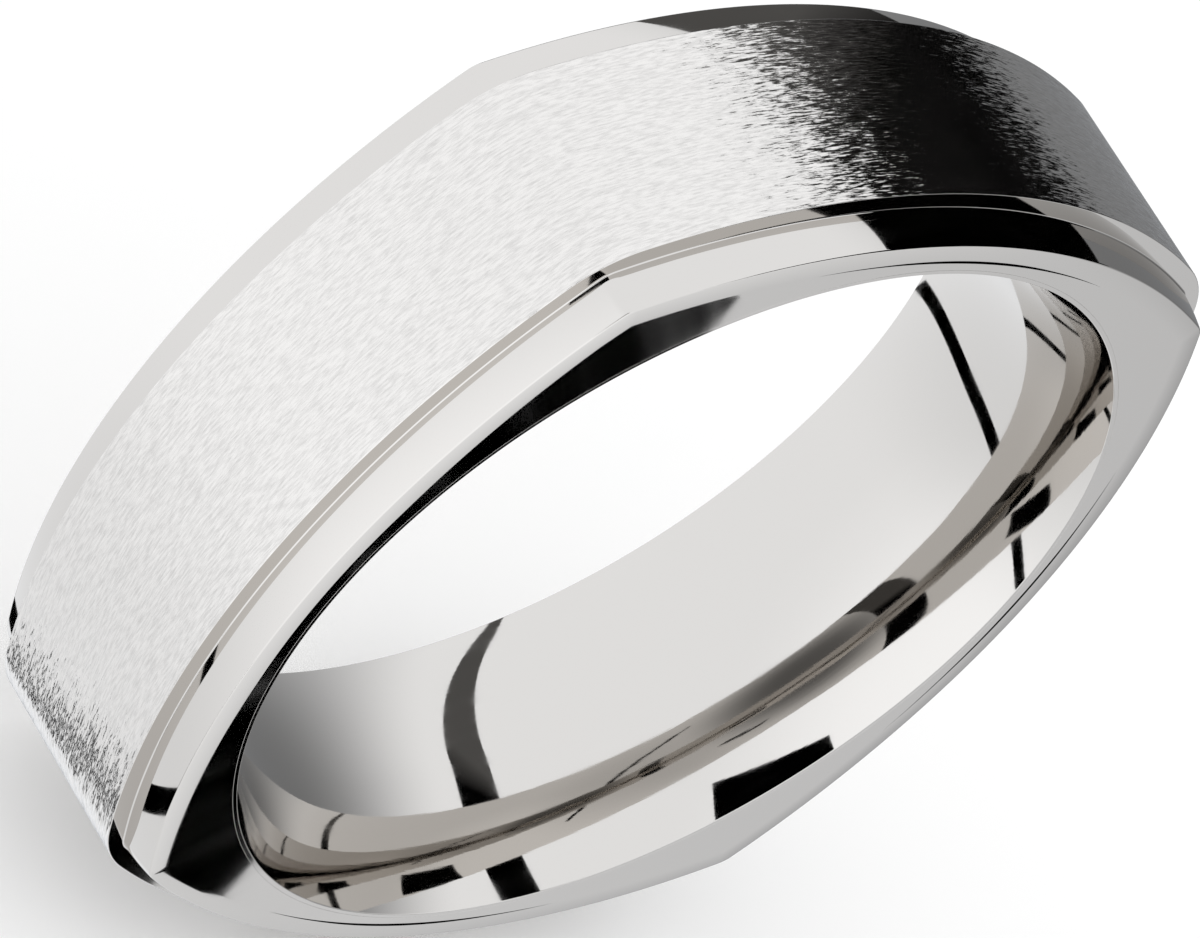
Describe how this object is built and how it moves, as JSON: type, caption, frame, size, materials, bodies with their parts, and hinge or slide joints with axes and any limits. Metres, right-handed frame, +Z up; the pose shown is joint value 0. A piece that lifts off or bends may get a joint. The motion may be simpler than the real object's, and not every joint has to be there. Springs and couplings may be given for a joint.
{
  "type": "wedding band",
  "caption": "Softened-square wedding band in white metal: round domed comfort-fit bore, raised satin centre and lower polished edge rings.",
  "frame": {"origin": "centre of the ring, on the bore's axis, midway between the two side faces", "axes": "+Y along the bore, from the front edge ring to the back one; +Z up through the middle of one arched side, so that the ring stands on the opposite side; +X through the middle of the next side"},
  "size_m": [0.0246, 0.007, 0.0246],
  "materials": {
    "liner_polish": "mirror polish, buffed round the bore",
    "satin": "fine satin, short scratches along the band",
    "edge_polish": "mirror polish"
  },
  "bodies": {
    "root": {"comfort_fit_liner": "liner_polish", "centre_band": "satin", "edge_ring_front": "edge_polish", "edge_ring_back": "edge_polish"}
  },
  "joints": []
}
